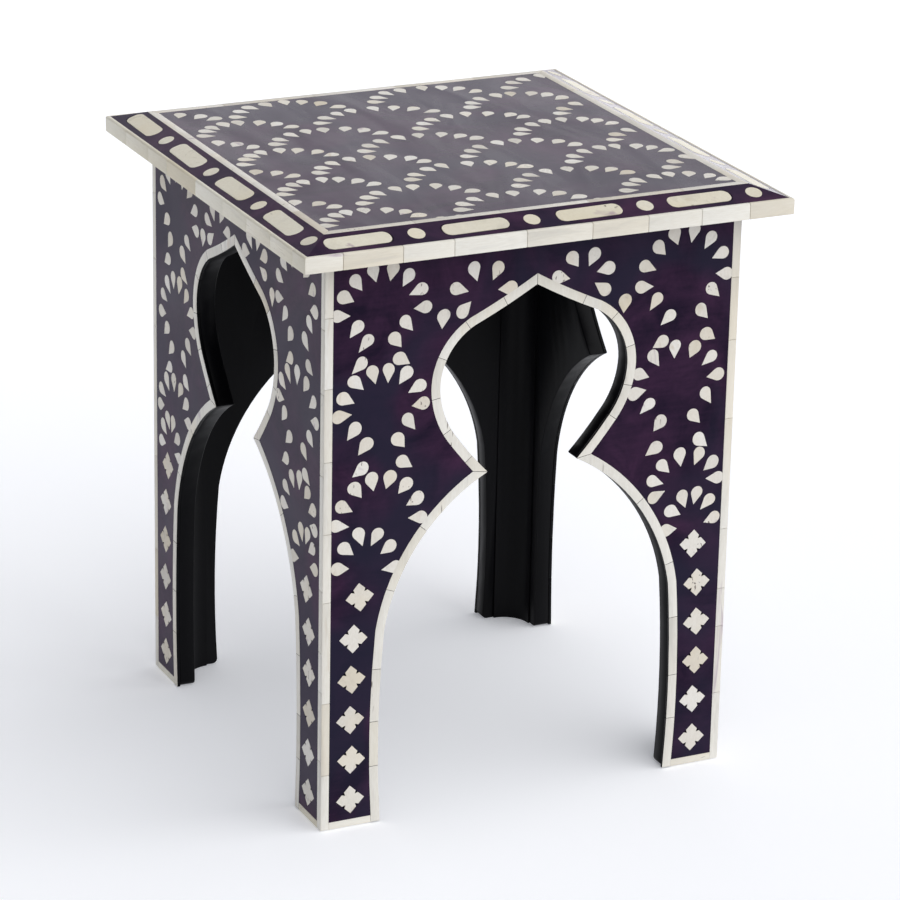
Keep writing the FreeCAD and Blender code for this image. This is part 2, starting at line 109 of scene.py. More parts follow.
# Inlay
PETAL_LENGTH, PETAL_WIDTH = 14.8 * MM, 9.9 * MM
TOP_PETAL_LENGTH, TOP_PETAL_WIDTH = 14.3 * MM, 9.8 * MM
ROSETTE_WIDTH = 22 * MM
ROSETTE_FIRST, ROSETTE_PITCH = 21.5 * MM, 31.4 * MM
ROSETTE_MIDDLE = 139.75 * MM
NOTCH_DEPTH, NOTCH_WIDTH = 2.6 * MM, 2.6 * MM
LOZENGE_LENGTH, LOZENGE_CORNER = 51.5 * MM, 5.6 * MM
LOZENGE_WIDTHS = {"front": 13.3 * MM, "right": 14.1 * MM, "back": 13.3 * MM, "left": 14.1 * MM}
DISC_WIDTH = 12.6 * MM
DISC_ROOM = 12.2 * MM
BORDER_END = 19.8 * MM
BORDER_UNITS = 4
PETAL_STEPS, CORNER_STEPS, DISC_POINTS = 18, 8, 24
INLAY_DEPTH = 0.5 * MM
INLAY_EDGE = 0.25 * MM
PETAL_SINK = 0.02 * MM
# What is left of a petal at an edge is put in only where it is larger than this.
SMALLEST_PIECE = 4 * MM * MM

# How much the pieces differ, as they are cut and set by hand. The first three lines are shares of a
# piece's size, and the others are in mm and degrees.
PETAL_LENGTHS, PETAL_WIDTHS = (0.94, 1.05), (0.92, 1.06)
PETAL_SKEW, PETAL_SWELL = 0.1, 0.05
BORDER_CUTS = (0.955, 1.0)
SIDE_SHIFT, SIDE_TURN = 0.5, 6
TOP_SHIFT, TOP_TURN, TOP_SLIDE = 0.8, 7, 2
BORDER_SHIFT, BORDER_TURN = 0.6, 1.2

# A petal's head and tail as discs, each with its place along the petal and its radius, as shares of the
# length and of the width. They keep the petals apart.
PETAL_DISCS = ((-0.17, 0.53), (0.2, 0.24))
PETAL_GAP = 0.4 * MM
SPREAD_ROUNDS = 8

# How far the edges of the CAD's own pieces are rounded, by the start of the node's name
SOFT_EDGES = {
    "arch_trim_": 0.15 * MM, "corner_strips_": 0.3 * MM, "foot_strips_": 0.3 * MM,
    "top_edging_": 0.45 * MM, "panel_": 0.8 * MM,
}
LINE_EDGE = 0.25 * MM
EDGE_SEGMENTS = 2
# In degrees: facets that turn less than the first are one face, and edges sharper than the second are
# rounded.
FLAT_ANGLE, SHARP_ANGLE = 1, 35
WELD_DISTANCE = 0.001 * MM
# A face of the trim that faces outwards less than this is its edge or its back.
FACING_OUT = 0.3

# The rings of petals on a side, in mm and degrees. Each has its centre, its reach across and up,
# the number of petals whose tips point in, and the angles of the first and last of them. Then come
# the petals below it that lead on to the next ring: their share of LEADS and how far they are turned.
FRONT_RINGS = (
    ((-120, 390), (31, 29), 8, (179, -1), (0.88, -1)),
    ((-119, 317), (30, 29), 8, (181, 3), (0.97, 2)),
    ((-120, 234), (30, 32), 8, (179, -3), None),
    ((-130, 199), (20, 26), 6, (173, -4), None),
    ((-42, 395), (19, 17), 5, (221, 2), None),
    ((37, 396), (18, 16), 5, (172, -37), None),
    ((118, 385), (32, 34), 8, (184, 1), (1.05, 3)),
    ((115, 306), (32, 27), 7, (187, 5), (1.1, 3)),
    ((125, 229), (25, 20), 7, (205, -3), None),
    ((131, 192), (18, 25), 6, (179, 10), None),
)
LEFT_RINGS = (
    ((-111, 384), (35, 33), 8, (172, 1), (0.95, -8)),
    ((-113, 301), (30, 32), 8, (181, 3), (0.98, 0)),
    ((-120, 226), (27, 25), 7, (184, 3), None),
    ((-129, 194), (16, 23), 6, (178, -3), None),
    ((-33, 397), (18, 14), 5, (224, 15), None),
    ((38, 397), (17, 14), 5, (177, -27), None),
    ((113, 387), (31, 32), 8, (190, 4), (1.02, 7)),
    ((116, 308), (31, 26), 7, (181, 1), (1.05, -3)),
    ((120, 230), (26, 26), 7, (181, -4), None),
    ((130, 197), (17, 23), 6, (182, 4), None),
)
RINGS = {"front": FRONT_RINGS, "right": LEFT_RINGS, "back": FRONT_RINGS, "left": LEFT_RINGS}
# The three petals that lead on from each hand of a ring: the angle from straight down, the reach,
# and how far the tip turns up from pointing straight out.
LEADS = ((61, 25.5, 50), (28, 29, 50), (22, 47, 33))
# Single petals beside the arch's head, tip down.
DROPS = {
    "front": ((-73, 379), (70, 372)), "right": ((-61, 383), (70, 377)),
    "back": ((-73, 379), (70, 372)), "left": ((-61, 383), (70, 377)),
}

# Scallops of petals on the top, in mm and degrees. Each column has its middle and its reach to each hand.
# Every other column is half a step further on, and the columns fan out a little towards the front.
SCALLOP_COLUMNS = (
    (-176, (48, 48)), (-122, (31, 40)), (-69, (42, 44)), (-11, (46, 48)), (50, (44, 46)), (112, (43, 37)),
    (176, (52, 48)),
)
SCALLOP_ROWS, SCALLOP_PITCH, SCALLOP_FIRST = 6, 79, -161
SCALLOP_HEIGHT = 36
SCALLOP_ANGLES = (20, 40, 59, 80, 100, 121, 140, 160)
SCALLOP_FAN, FAN_MIDDLE = 0.00027, -54

ROSETTE_LEANS = (0.0, 0.02, -0.03, 0.0, 0.05, 0.26)
ROSETTE_TILTS = {-1: (2, -3, 1, 3, -2, 4), 1: (-2, 2, -1, 3, 1, -4)}


# Outlines, as lists of points in a plane


def around(centre, radius, start, end, steps):
    """Points on an arc, in degrees, from start to end."""
    angles = [math.radians(start + (end - start) * k / steps) for k in range(steps + 1)]
    return [Vector((centre[0] + radius * math.cos(a), centre[1] + radius * math.sin(a))) for a in angles]


def petal(length, width, chance):
    """A teardrop about its own middle, tip towards +X, cut by hand: no two are alike."""
    length *= chance.uniform(*PETAL_LENGTHS)
    width *= chance.uniform(*PETAL_WIDTHS)
    radius = width / 2
    reach = length - radius
    tangent = math.degrees(math.acos(radius / reach))
    head = (radius - length / 2, 0)
    points = around(head, radius, tangent, 360 - tangent, PETAL_STEPS) + [Vector((length / 2, 0))]
    skew = chance.uniform(-PETAL_SKEW, PETAL_SKEW)
    swell = chance.uniform(-PETAL_SWELL, PETAL_SWELL)
    return [Vector((p.x, p.y * (1 + swell * p.x / length) + skew * p.x)) for p in points]


def notched_square(width, tilt):
    """A square on its corner with a small V cut into the middle of each side."""
    half = width / 2
    points = []
    for quarter in range(4):
        turn = Matrix.Rotation(math.radians(tilt + 90 * quarter), 2)
        corner, following = Vector((half, 0)), Vector((0, half))
        along = (following - corner).normalized()
        middle = (corner + following) / 2
        inwards = -middle.normalized()
        half_mouth = along * NOTCH_WIDTH / 2
        notch = middle - half_mouth, middle + inwards * NOTCH_DEPTH, middle + half_mouth
        points += [turn @ p for p in (corner, *notch)]
    return points


def rounded_bar(length, width, corner):
    """A bar about its middle with round corners."""
    points = []
    for start, across, up in ((0, 1, 1), (90, -1, 1), (180, -1, -1), (270, 1, -1)):
        centre = (across * (length / 2 - corner), up * (width / 2 - corner))
        points += around(centre, corner, start, start + 90, CORNER_STEPS)
    return points


def run(length, degrees):
    """A step of a length in a direction."""
    return Vector((length * math.cos(math.radians(degrees)), length * math.sin(math.radians(degrees))))


def moved(outline, x, y, degrees=0):
    """The outline turned about the origin, then set down at x, y."""
    turn = Matrix.Rotation(math.radians(degrees), 2)
    return [turn @ p + Vector((x, y)) for p in outline]


def clipped(outline, left, right, low, high):
    """The part of an outline inside a rectangle."""
    for axis, limit, sign in ((0, left, 1), (0, right, -1), (1, low, 1), (1, high, -1)):
        kept = []
        for p, q in zip(outline, outline[1:] + outline[:1]):
            p_in, q_in = sign * (p[axis] - limit) >= 0, sign * (q[axis] - limit) >= 0
            if p_in:
                kept.append(p)
            if p_in != q_in:
                kept.append(p.lerp(q, (limit - p[axis]) / (q[axis] - p[axis])))
        outline = kept
        if len(outline) < 3:
            return []
    return outline


def area(outline):
    """The area inside the outline, less than nothing where it runs clockwise."""
    return sum(p.x * q.y - q.x * p.y for p, q in zip(outline, outline[1:] + outline[:1])) / 2


def inset(outline, distance):
    """The outline moved inwards, with its mitres kept short."""
    points = []
    for before, p, after in zip(outline[-1:] + outline[:-1], outline, outline[1:] + outline[:1]):
        first, second = (p - before).normalized(), (after - p).normalized()
        normal = Vector((-first.y - second.y, first.x + second.x))
        scale = distance * 2 / max(normal.length_squared, 1)
        points.append(p + normal * scale)
    return points


# Planes of the stool, as matrices from (along, up, out) to the stool's own frame


def side_plane(degrees):
    """The bone's level on one side: along it, up it, out of it."""
    plane = Matrix(((1, 0, 0, 0), (0, 0, -1, -BONE_LEVEL), (0, 1, 0, 0), (0, 0, 0, 1)))
    return Matrix.Rotation(math.radians(degrees), 4, "Z") @ plane


def deck_plane():
    """The flat field of the top."""
    return Matrix.Translation((0, 0, DECK))


def bevel_plane(degrees):
    """The slope of the border on one side, with its origin in the middle of the border's width."""
    middle = Vector((0, -(BORDER_INNER + BORDER_OUTER) / 2, (DECK + BEVEL_FOOT) / 2))
    slope = math.atan2(DECK - BEVEL_FOOT, BORDER_OUTER - BORDER_INNER)
    plane = Matrix.Translation(middle) @ Matrix.Rotation(slope, 4, "X")
    return Matrix.Rotation(math.radians(degrees), 4, "Z") @ plane


# Pieces


def finished(name, mesh, slot):
    """A piece of the stool from its mesh."""
    piece = bpy.data.objects.new(name, mesh)
    bpy.context.scene.collection.objects.link(piece)
    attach(piece, "root")
    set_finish(piece, slot)
    return piece


def inlay(name, plane, outlines, sink=0.0):
    """Flat bone pieces with their faces at the plane. The rim rounds over in two steps."""
    shape = bmesh.new()
    for outline in outlines:
        if len(outline) < 3 or abs(area(outline)) < SMALLEST_PIECE:
            continue
        if area(outline) < 0:
            outline = outline[::-1]
        loops = []
        for ring, level in (
            (outline, -INLAY_DEPTH),
            (outline, -INLAY_EDGE * 0.5),
            (inset(outline, INLAY_EDGE * 0.4), -INLAY_EDGE * 0.12),
            (inset(outline, INLAY_EDGE), 0),
        ):
            loops.append([shape.verts.new(plane @ Vector((p.x, p.y, level - sink))) for p in ring])
        for lower, upper in zip(loops, loops[1:]):
            for k in range(len(lower)):
                face = shape.faces.new((lower[k - 1], lower[k], upper[k], upper[k - 1]))
                face.smooth = True
        shape.faces.new(loops[-1])
    mesh = bpy.data.meshes.new(name)
    shape.to_mesh(mesh)
    shape.free()
    return finished(name, mesh, "bone")


def softened(node, width):
    """The node's own solids with their sharp edges rounded a little, in the node's place."""
    shape = bmesh.new()
    shape.from_mesh(frame["nodes"][node].data)
    bmesh.ops.remove_doubles(shape, verts=shape.verts, dist=WELD_DISTANCE)
    flat = math.radians(FLAT_ANGLE)
    bmesh.ops.dissolve_limit(shape, angle_limit=flat, verts=shape.verts, edges=shape.edges)
    for face in shape.faces:
        face.smooth = True
    mesh = bpy.data.meshes.new("soft_" + node)
    shape.to_mesh(mesh)
    shape.free()
    piece = finished("soft_" + node, mesh, SLOTS[node])
    bevel = piece.modifiers.new("edges", "BEVEL")
    bevel.width = width
    bevel.segments = EDGE_SEGMENTS
    bevel.limit_method = "ANGLE"
    bevel.angle_limit = math.radians(SHARP_ANGLE)
    bevel.harden_normals = True
    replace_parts(piece, node)


def spread(places, length, width):
    """Moves petals that would overlap apart, as the inlayer does."""
    for _ in range(SPREAD_ROUNDS):
        for number, (p, tip) in enumerate(places):
            for q, other_tip in places[:number]:
                if (q - p).length > length:
                    continue
                for along, radius in PETAL_DISCS:
                    for other_along, other_radius in PETAL_DISCS:
                        start = p + run(along * length, tip)
                        gap = q + run(other_along * length, other_tip) - start
                        room = (radius + other_radius) * width + PETAL_GAP
                        if gap.length < room:
                            shift = gap * (room / gap.length - 1) / 2
                            q += shift
                            p -= shift


def cut_petals(places, length, width, limits, chance):
    """Outlines of petals at their places and angles, cut off at the edges of the resin."""
    spread(places, length, width)
    return [
        clipped(moved(petal(length, width, chance), place.x, place.y, tip), *limits)
        for place, tip in places
    ]


def petals_of_side(side):
    """Outlines of the petals of one side."""
    chance = random.Random(side)
    places = []

    def add(x, z, tip):
        x += chance.uniform(-SIDE_SHIFT, SIDE_SHIFT)
        z += chance.uniform(-SIDE_SHIFT, SIDE_SHIFT)
        places.append((Vector((x, z)) * MM, tip + chance.uniform(-SIDE_TURN, SIDE_TURN)))

    for (x, z), (across, up), count, (first, last), leads in RINGS[side]:
        for k in range(count):
            angle = first + (last - first) * k / (count - 1)
            turn = math.radians(angle)
            add(x + across * math.cos(turn), z + up * math.sin(turn), angle + 180)
        if leads:
            share, twist = leads
            for hand in (-1, 1):
                for opening, reach, lean in LEADS:
                    turn = math.radians(270 + hand * opening + twist)
                    tip = 180 + lean if hand < 0 else -lean
                    add(x + share * reach * math.cos(turn), z + share * reach * math.sin(turn), tip)
    for x, z in DROPS[side]:
        add(x, z, 270)
    limits = (-FACE_HALF, FACE_HALF, FACE_FOOT, FACE_TOP)
    return cut_petals(places, PETAL_LENGTH, PETAL_WIDTH, limits, chance)


def petals_of_top():
    """Outlines of the petals of the field, cut off at the bone line."""
    chance = random.Random("top")
    places = []
    for column, (middle, reach) in enumerate(SCALLOP_COLUMNS):
        low = SCALLOP_FIRST - (column % 2 == 0) * SCALLOP_PITCH / 2
        for row in range(SCALLOP_ROWS):
            centre = low + row * SCALLOP_PITCH
            for angle in SCALLOP_ANGLES:
                turn = math.radians(angle + chance.uniform(-TOP_SLIDE, TOP_SLIDE))
                y = centre + SCALLOP_HEIGHT * math.sin(turn) + chance.uniform(-TOP_SHIFT, TOP_SHIFT)
                x = middle + reach[angle < 90] * math.cos(turn) + chance.uniform(-TOP_SHIFT, TOP_SHIFT)
                x -= SCALLOP_FAN * (middle - FAN_MIDDLE) * y
                places.append((Vector((x, y)) * MM, angle + 180 + chance.uniform(-TOP_TURN, TOP_TURN)))
    limits = (-FIELD_HALF, FIELD_HALF, -FIELD_HALF, FIELD_HALF)
    return cut_petals(places, TOP_PETAL_LENGTH, TOP_PETAL_WIDTH, limits, chance)


def rosettes_of_side():
    """Outlines of the bone squares down both legs of a side."""
    outlines = []
    for hand in (-1, 1):
        for number, lean in enumerate(ROSETTE_LEANS):
            x = hand * (ROSETTE_MIDDLE - lean * ROSETTE_WIDTH)
            z = ROSETTE_FIRST + number * ROSETTE_PITCH
            outlines.append(moved(notched_square(ROSETTE_WIDTH, ROSETTE_TILTS[hand][number]), x, z))
    return outlines


def border_places():
    """Middles of the lozenges and of the discs along a side of the border."""
    top_half = (CAD_BOX[1].x - CAD_BOX[0].x) / 2
    row = 2 * (top_half - BORDER_END)
    gap = (row - BORDER_UNITS * (LOZENGE_LENGTH + DISC_ROOM)) / (2 * BORDER_UNITS - 1)
    unit = LOZENGE_LENGTH + DISC_ROOM + 2 * gap
    lozenges = [-row / 2 + k * unit + LOZENGE_LENGTH / 2 for k in range(BORDER_UNITS)]
    discs = [x + (LOZENGE_LENGTH + DISC_ROOM) / 2 + gap for x in lozenges]
    return lozenges, discs


def joined(name, parts, node):
    """Several inlays as one piece that stands for a CAD node."""
    shape = bmesh.new()
    for part in parts:
        shape.from_mesh(part.data)
        bpy.data.objects.remove(part)
    mesh = bpy.data.meshes.new(name)
    shape.to_mesh(mesh)
    shape.free()
    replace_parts(finished(name, mesh, "bone"), node)


def make_border_inlay():
    """The lozenges and discs of the border, each a little off its place and size."""
    lozenges, discs = border_places()
    bars, rounds = [], []
    for side, degrees in SIDES.items():
        plane = bevel_plane(degrees)
        chance = random.Random("border " + side)

        def cut():
            return chance.uniform(*BORDER_CUTS)

        def set_down(outline, x):
            x += chance.uniform(-BORDER_SHIFT, BORDER_SHIFT) * MM
            return moved(outline, x, 0, chance.uniform(-BORDER_TURN, BORDER_TURN))

        bar_shapes = [
            set_down(rounded_bar(LOZENGE_LENGTH * cut(), LOZENGE_WIDTHS[side] * cut(), LOZENGE_CORNER), x)
            for x in lozenges
        ]
        last = 360 - 360 / DISC_POINTS
        disc_shapes = [
            set_down(around((0, 0), DISC_WIDTH * cut() / 2, 0, last, DISC_POINTS - 1), x)
            for x in discs
        ]
        bars.append(inlay("bars_" + side, plane, bar_shapes))
        rounds.append(inlay("rounds_" + side, plane, disc_shapes))
    joined("lozenges", bars, "border_lozenges")
    joined("discs", rounds, "border_discs")


def make_pieces():
    """Every piece that isn't a CAD node as it stands."""
    for side, degrees in SIDES.items():
        plane = side_plane(degrees)
        inlay("petals_" + side, plane, petals_of_side(side), PETAL_SINK)
        squares = inlay("squares_" + side, plane, rosettes_of_side())
        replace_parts(squares, "rosettes_" + side)
        for node, edge in SOFT_EDGES.items():
            softened(node + side, edge)
    softened("top_line", LINE_EDGE)
    inlay("petals_top", deck_plane(), petals_of_top(), PETAL_SINK)
    make_border_inlay()


# Materials


class Tree:
    """Short ways to add and join the nodes of a material or a group."""

    def __init__(self, tree):
        self.tree = tree

    def add(self, kind, **settings):
        node = self.tree.nodes.new("ShaderNode" + kind)
        for name, value in settings.items():
            setattr(node, name, value)
        return node

    def link(self, source, target):
        self.tree.links.new(source, target)

    def noise(self, vector, scale, detail=3.0, roughness=0.5, distortion=0.0):
        """Soft random values with about as many lumps to a metre as the scale."""
        node = self.add("TexNoise")
        self.link(vector, node.inputs["Vector"])
        node.inputs["Scale"].default_value = scale
        node.inputs["Detail"].default_value = detail
        node.inputs["Roughness"].default_value = roughness
        node.inputs["Distortion"].default_value = distortion
        return node.outputs["Fac"]

    def stretch(self, vector, scale):
        """Places scaled along each axis: what is drawn there is longer where the scale is small."""
        node = self.add("Mapping", vector_type="POINT")
        self.link(vector, node.inputs["Vector"])
        node.inputs["Scale"].default_value = scale
        return node.outputs["Vector"]

    def fit(self, value, low, high, to_low=0.0, to_high=1.0):
        """Value from low to high becomes to_low to to_high, and stays within them."""
        node = self.add("MapRange", clamp=True)
        self.link(value, node.inputs["Value"])
        limits = (("From Min", low), ("From Max", high), ("To Min", to_low), ("To Max", to_high))
        for name, number in limits:
            node.inputs[name].default_value = number
        return node.outputs["Result"]

    def ramp(self, value, stops):
        """Colours at their places from 0 to 1, and blends between them."""
        node = self.add("ValToRGB")
        points = node.color_ramp.elements
        while len(points) < len(stops):
            points.new(0.5)
        for point, (place, colour) in zip(points, stops):
            point.position = place
            point.color = (*colour, 1)
        self.link(value, node.inputs["Fac"])
        return node.outputs["Color"]

    def blend(self, share, first, second, kind="MIX"):
        """Mixes two colours; each is a socket or a colour, and so is the share or a number."""
        node = self.add("Mix", data_type="RGBA", blend_type=kind)
        for name, value in (("Factor", share), ("A", first), ("B", second)):
            socket = [s for s in node.inputs if s.name == name and s.enabled][0]
            if isinstance(value, bpy.types.NodeSocket):
                self.link(value, socket)
            else:
                socket.default_value = (*value, 1) if isinstance(value, tuple) else value
        return [s for s in node.outputs if s.enabled][0]

    def calculate(self, operation, first, second=0.0):
        node = self.add("Math", operation=operation)
        for socket, value in zip(node.inputs, (first, second)):
            if isinstance(value, bpy.types.NodeSocket):
                self.link(value, socket)
            else:
                socket.default_value = value
        return node.outputs[0]


def new_group(name, inputs, outputs):
    """A node group with its input and output nodes; each socket is (name, type, value)."""
    group = bpy.data.node_groups.new(name, "ShaderNodeTree")
    for socket, kind, value in inputs:
        made = group.interface.new_socket(name=socket, in_out="INPUT", socket_type="NodeSocket" + kind)
        if value is not None:
            made.default_value = value
    for socket, kind in outputs:
        group.interface.new_socket(name=socket, in_out="OUTPUT", socket_type="NodeSocket" + kind)
    entry, exit_node = group.nodes.new("NodeGroupInput"), group.nodes.new("NodeGroupOutput")
    return group, Tree(group), entry, exit_node


def bone_group():
    """Polished bone: a tone for each piece, fine fibres, clouding, and a few pits and stains."""
    group, t, entry, leave = new_group(
        "bone",
        [("Place", "Vector", None), ("Tint", "Color", (1, 1, 1, 1))],
        [("Color", "Color"), ("Roughness", "Float"), ("Height", "Float")],
    )
    place = entry.outputs["Place"]
    chance = t.add("NewGeometry").outputs["Random Per Island"]
    tone = t.ramp(chance, (
        (0.0, (0.84, 0.81, 0.73)), (0.15, (0.74, 0.70, 0.59)), (0.3, (0.89, 0.88, 0.82)),
        (0.45, (0.78, 0.75, 0.66)), (0.6, (0.86, 0.84, 0.76)), (0.75, (0.70, 0.67, 0.59)),
        (0.9, (0.84, 0.82, 0.74)), (1.0, (0.68, 0.61, 0.47)),
    ))
    fibres = t.noise(place, 900, detail=3, roughness=0.6)
    clouds = t.noise(place, 90, detail=4, roughness=0.6, distortion=0.6)
    specks = t.noise(place, 520, detail=1, roughness=0.4)
    where = t.noise(place, 45, detail=1)
    stains = t.noise(place, 36, detail=3, roughness=0.7, distortion=1.5)
    age = t.noise(place, 26, detail=2, roughness=0.5, distortion=0.5)
    smears = t.noise(place, 60, detail=3, roughness=0.6, distortion=1.0)
    pits = t.calculate("MULTIPLY", t.fit(specks, 0.66, 0.72), t.fit(where, 0.61, 0.69))
    colour = t.blend(t.fit(clouds, 0.35, 0.75, 0.0, 0.5), tone, (0.88, 0.85, 0.76))
    colour = t.blend(t.fit(fibres, 0.3, 0.75, 0.24, 0.0), colour, (0.55, 0.48, 0.36))
    colour = t.blend(t.fit(clouds, 0.28, 0.42, 0.35, 0.0), colour, (0.52, 0.50, 0.45))
    colour = t.blend(t.fit(stains, 0.64, 0.74, 0.0, 0.45), colour, (0.50, 0.38, 0.24))
    colour = t.blend(t.fit(age, 0.5, 0.72, 0.0, 0.5), colour, (0.79, 0.70, 0.52))
    colour = t.blend(t.fit(smears, 0.66, 0.74, 0.0, 0.55), colour, (0.32, 0.21, 0.32))
    colour = t.blend(t.calculate("MULTIPLY", pits, 0.85), colour, (0.10, 0.07, 0.06))
    colour = t.blend(1.0, colour, entry.outputs["Tint"], "MULTIPLY")
    height = t.calculate("SUBTRACT", t.calculate("MULTIPLY", fibres, 0.25), pits)
    t.link(colour, leave.inputs["Color"])
    polish = t.calculate("ADD", t.fit(clouds, 0.3, 0.7, 0.22, 0.36), t.calculate("MULTIPLY", chance, 0.2))
    t.link(polish, leave.inputs["Roughness"])
    t.link(height, leave.inputs["Height"])
    return group


def cloud_group():
    """Two tones in soft clouds, drifting to a third, with brush marks and dust: resin, and paint."""
    group, t, entry, leave = new_group(
        "clouded",
        [("Place", "Vector", None), ("Dark", "Color", (0.02, 0.012, 0.022, 1)),
         ("Light", "Color", (0.05, 0.035, 0.055, 1)), ("Drift", "Color", (0.01, 0.01, 0.02, 1)),
         ("Matt", "Float", 0.2), ("Wax", "Float", 0.0)],
        [("Color", "Color"), ("Roughness", "Float"), ("Height", "Float"), ("Polish", "Float")],
    )
    place = entry.outputs["Place"]
    broad = t.noise(place, 22, detail=5, roughness=0.55, distortion=1.2)
    wide = t.noise(place, 11, detail=2, roughness=0.5, distortion=0.8)
    streaks = t.noise(t.stretch(place, (0.1, 0.4, 1)), 420, detail=2, roughness=0.5)
    dust = t.noise(place, 240, detail=4, roughness=0.65)
    fine = t.calculate("ADD", t.calculate("MULTIPLY", streaks, 0.5), t.calculate("MULTIPLY", dust, 0.5))
    mist = t.calculate("ADD", t.calculate("MULTIPLY", broad, 0.75), t.calculate("MULTIPLY", fine, 0.25))
    colour = t.blend(t.fit(mist, 0.36, 0.66), entry.outputs["Dark"], entry.outputs["Light"])
    colour = t.blend(t.fit(wide, 0.43, 0.62, 0.0, 0.8), colour, entry.outputs["Drift"])
    matt = t.calculate("ADD", entry.outputs["Matt"], t.fit(fine, 0.3, 0.7, -0.03, 0.05))
    rubbed = t.noise(t.stretch(place, (1, 0.3, 0.3)), 26, detail=4, roughness=0.6, distortion=1.0)
    wax = t.calculate("MULTIPLY", entry.outputs["Wax"], t.fit(rubbed, 0.36, 0.66))
    t.link(colour, leave.inputs["Color"])
    t.link(matt, leave.inputs["Roughness"])
    t.link(fine, leave.inputs["Height"])
    t.link(wax, leave.inputs["Polish"])
    return group


def new_material(name, group, stretch, inputs, bump, ior):
    """A material whose colour, gloss and bump come from an effect."""
    material = bpy.data.materials.new(name)
    material.use_nodes = True
    t = Tree(material.node_tree)
    shader = material.node_tree.nodes["Principled BSDF"]
    effect = t.add("Group")
    effect.node_tree = group
    place = t.stretch(t.add("TexCoord").outputs["Object"], stretch)
    t.link(place, effect.inputs["Place"])
    for socket, value in inputs.items():
        effect.inputs[socket].default_value = (*value, 1) if isinstance(value, tuple) else value
    t.link(effect.outputs["Color"], shader.inputs["Base Color"])
    t.link(effect.outputs["Roughness"], shader.inputs["Roughness"])
    bumps = t.add("Bump")
    bumps.inputs["Strength"].default_value = bump
    bumps.inputs["Distance"].default_value = 0.1 * MM
    t.link(effect.outputs["Height"], bumps.inputs["Height"])
    t.link(bumps.outputs["Normal"], shader.inputs["Normal"])
    if "Polish" in effect.outputs:
        t.link(effect.outputs["Polish"], shader.inputs["Coat Weight"])
        shader.inputs["Coat Roughness"].default_value = 0.2
        shader.inputs["Coat IOR"].default_value = WAX_IOR
    if name.endswith("resin"):
        shader.inputs["Sheen Weight"].default_value = BLOOM
        shader.inputs["Sheen Tint"].default_value = BLOOM_TINT
        shader.inputs["Sheen Roughness"].default_value = BLOOM_SPREAD
    shader.inputs["IOR"].default_value = ior
    return material


# The casts of the bone: trim and corner strips, then the edging and foot strips of the front and back,
# those of the right and left, petals with squares and the top's line, and the border's inlay
STRIP_TINT = (0.985, 0.99, 1.02)
# Painted light: the edging and foot strips of the front and back are painted lighter and whiter than those
# of the right and left, for the light that falls on the front.
LIT_EDGING_TINT = (1.03, 1.035, 1.06)
WARM_TINT = (1.0, 0.99, 0.95)
INLAY_TINT = (0.95, 0.94, 0.965)
BORDER_TINT = (1.06, 1.04, 0.98)
WAX_IOR = 1.06
# A faint purple bloom on the resin, seen along the surface
BLOOM, BLOOM_TINT, BLOOM_SPREAD = 0.11, (0.62, 0.29, 0.80, 1), 0.4
# Each has its effect, the stretch of its grain, its own colours, its bump and how much it reflects.
FINISHES = {
    "bone_upright": ("bone", (1, 1, 0.15), {"Tint": STRIP_TINT}, 0.25, 1.3),
    "bone_along_x": ("bone", (0.15, 1, 1), {"Tint": LIT_EDGING_TINT}, 0.25, 1.3),
    "bone_along_y": ("bone", (1, 0.15, 1), {"Tint": WARM_TINT}, 0.25, 1.3),
    "bone_inlay": ("bone", (1, 1, 0.6), {"Tint": INLAY_TINT}, 0.25, 1.3),
    "border_bone": ("bone", (0.5, 0.5, 1), {"Tint": BORDER_TINT}, 0.25, 1.3),
    "resin": (
        "clouded", (1, 1, 1),
        {"Dark": (0.012, 0.007, 0.020), "Light": (0.047, 0.019, 0.048), "Drift": (0.017, 0.017, 0.034),
         "Matt": 0.16, "Wax": 1.0},
        0.05, 1.11),
    # Painted light: the border's resin is painted lighter than the field's, standing in for the extra
    # light that falls on the sloping border.
    "border_resin": (
        "clouded", (1, 1, 1),
        {"Dark": (0.022, 0.013, 0.030), "Light": (0.072, 0.031, 0.068), "Drift": (0.020, 0.018, 0.036),
         "Matt": 0.2, "Wax": 1.0},
        0.05, 1.15),
    "black_paint": (
        "clouded", (1, 1, 0.1),
        {"Dark": (0.0005, 0.0005, 0.001), "Light": (0.0035, 0.0035, 0.005), "Drift": (0.001, 0.001, 0.002),
         "Matt": 0.4},
        0.3, 1.2),
    "bare_wood": (
        "clouded", (1, 1, 0.08),
        {"Dark": (0.42, 0.29, 0.16), "Light": (0.62, 0.46, 0.29), "Drift": (0.50, 0.36, 0.22),
         "Matt": 0.6},
        0.4, 1.4),
}


def make_materials():
    """The finishes by name, each with its own values in one of the two effects."""
    effects = {"bone": bone_group(), "clouded": cloud_group()}
    return {name: new_material(name, effects[effect], *rest) for name, (effect, *rest) in FINISHES.items()}


def material_name(piece, slot):
    """Bone follows the run of its piece; the border's resin is a copy painted lighter, painted light for
    the light on the slope; every other slot has one material.
    """
    if piece == "top_border":
        return "border_resin"
    if piece in ("lozenges", "discs"):
        return "border_bone"
    if slot != "bone":
        return slot
    if "corner_strips" in piece or "arch_trim" in piece:
        return "bone_upright"
    if piece.endswith(("_front", "_back")) and ("edging" in piece or "foot" in piece):
        return "bone_along_x"
    if piece.endswith(("_left", "_right")) and ("edging" in piece or "foot" in piece):
        return "bone_along_y"
    return "bone_inlay"


def paint_edges(trim, paint):
    """The paint of the opening laps over the edge of the trim, and the joints are dark."""
    trim.data.materials.append(paint)
    side = trim.name.rsplit("_", 1)[1]
    outwards = side_plane(SIDES[side]).to_3x3() @ Vector((0, 0, 1))
    for face in trim.data.polygons:
        if face.normal.dot(outwards) < FACING_OUT:
            face.material_index = 1


